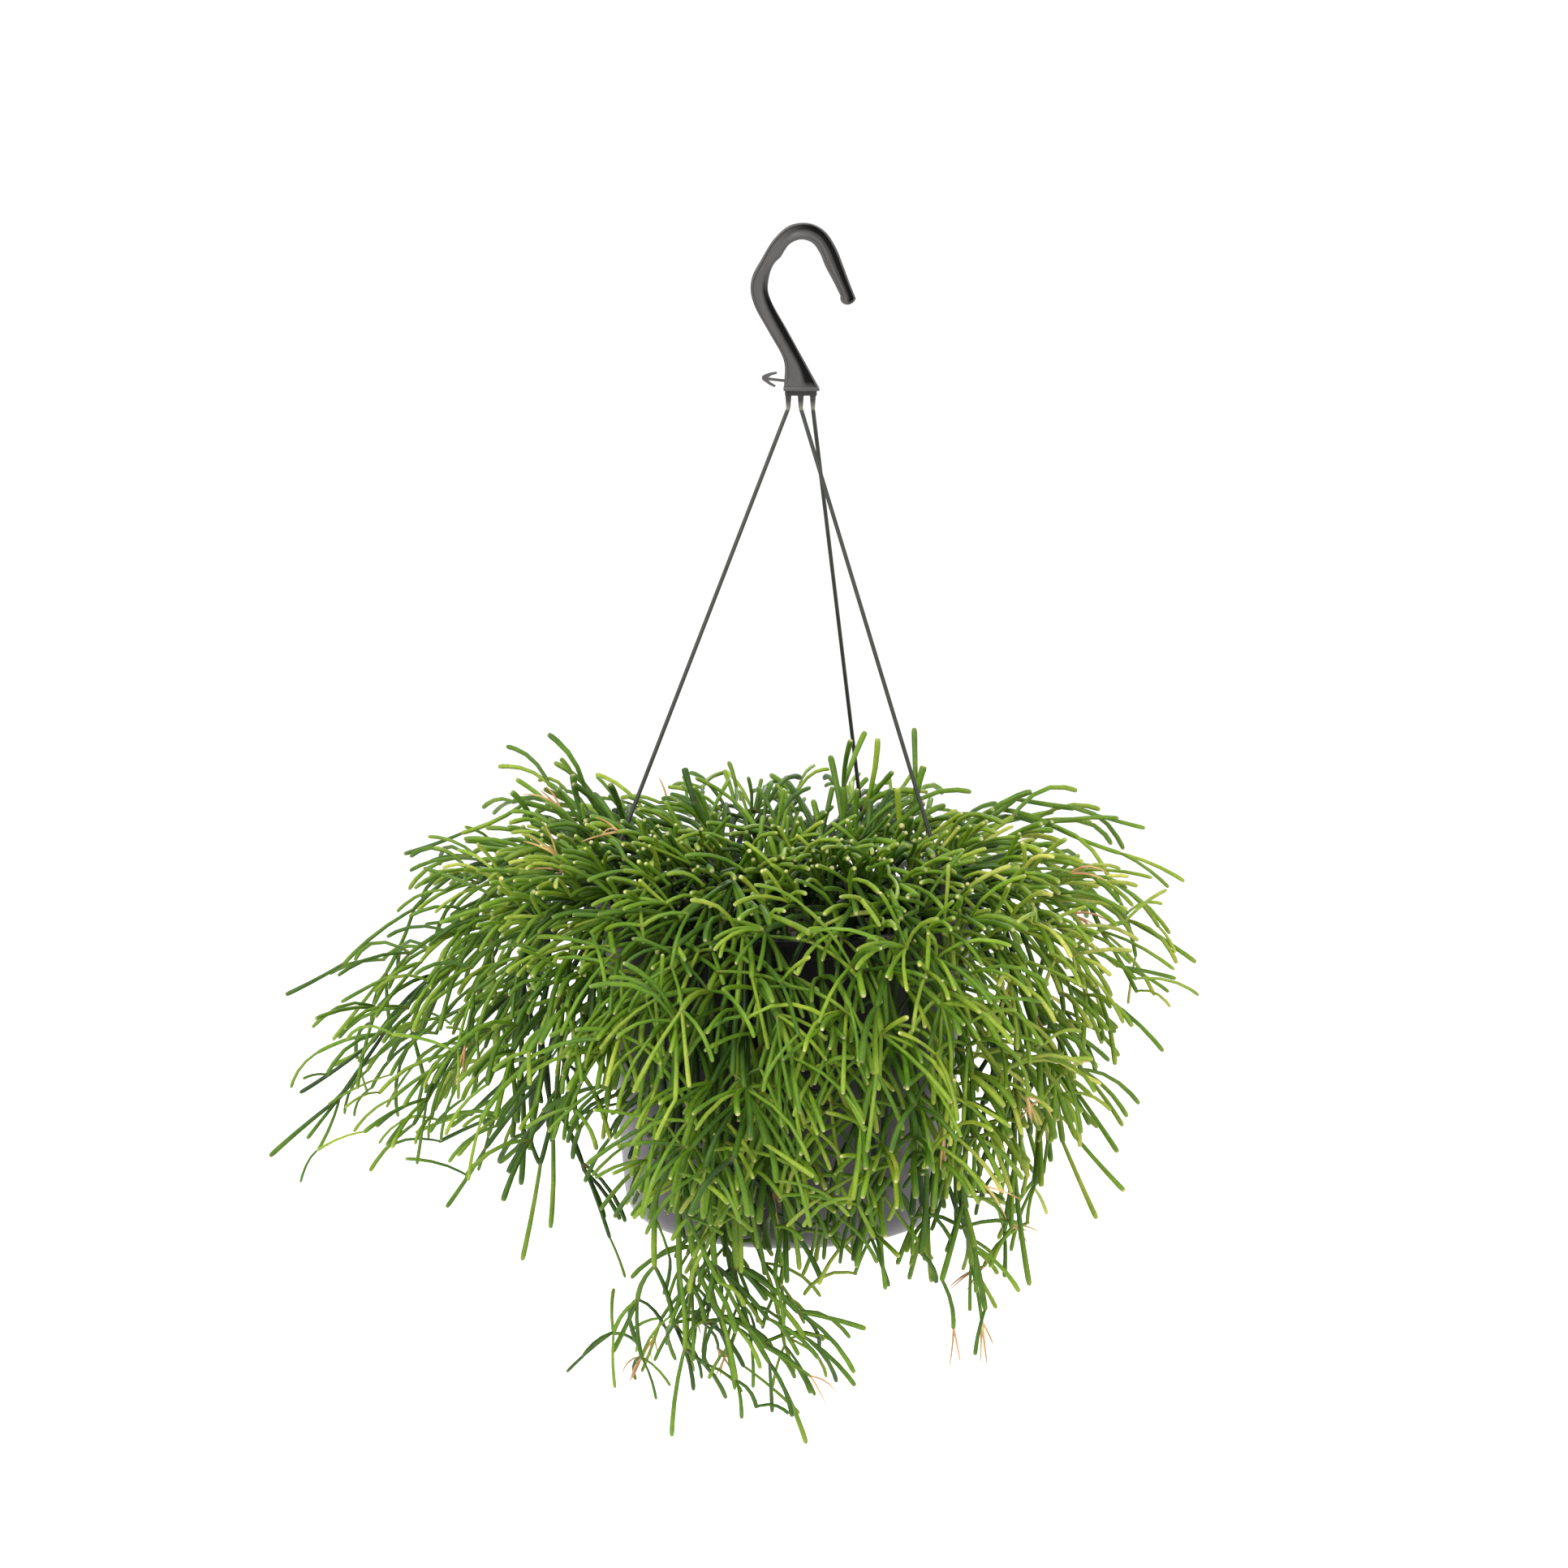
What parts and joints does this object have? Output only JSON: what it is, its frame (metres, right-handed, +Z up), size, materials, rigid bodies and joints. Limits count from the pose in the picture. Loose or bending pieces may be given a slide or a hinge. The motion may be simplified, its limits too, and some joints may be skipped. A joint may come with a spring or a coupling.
{
  "type": "potted rhipsalis clavata",
  "caption": "Hanging plastic pot of a leafless cactus, with short jointed stems that branch in whorls and arch and trail over the rim, on a hook with thin rods.",
  "frame": {"origin": "the hook's saddle, the lowest point of the inside of its bend, where a rail carries the plant", "axes": "+Z up, +X to the right seen from the front with the hook's mouth on the right, +Y towards the back"},
  "size_m": [0.3578, 0.323, 0.4474],
  "materials": {
    "pot_plastic": "grey moulded plastic with a soft shine",
    "hanger_plastic": "dark grey moulded plastic, satin",
    "soil": "dark loose potting soil",
    "stem": "smooth waxy green skin"
  },
  "bodies": {
    "root": {"pot": "pot_plastic", "soil": "soil", "hook": "hanger_plastic", "rod_left": "hanger_plastic", "rod_right": "hanger_plastic", "rod_back": "hanger_plastic", "spray_01": "stem", "spray_02": "stem", "spray_03": "stem", "spray_04": "stem", "spray_05": "stem", "spray_06": "stem", "spray_07": "stem", "spray_08": "stem", "spray_09": "stem", "spray_10": "stem", "spray_11": "stem", "spray_12": "stem", "spray_13": "stem", "spray_14": "stem", "spray_15": "stem", "spray_16": "stem", "spray_17": "stem", "spray_18": "stem", "spray_19": "stem", "spray_20": "stem", "spray_21": "stem", "spray_22": "stem", "spray_23": "stem", "spray_24": "stem", "spray_25": "stem", "spray_26": "stem", "spray_27": "stem", "spray_28": "stem", "spray_29": "stem", "spray_30": "stem", "spray_31": "stem", "spray_32": "stem", "spray_33": "stem", "spray_34": "stem", "spray_35": "stem", "spray_36": "stem", "spray_37": "stem", "spray_38": "stem", "spray_39": "stem", "spray_40": "stem", "spray_41": "stem", "spray_42": "stem", "spray_43": "stem", "spray_44": "stem", "spray_45": "stem", "spray_46": "stem", "spray_47": "stem", "spray_48": "stem", "spray_49": "stem", "spray_50": "stem", "spray_51": "stem", "spray_52": "stem", "spray_53": "stem", "spray_54": "stem"}
  },
  "joints": []
}
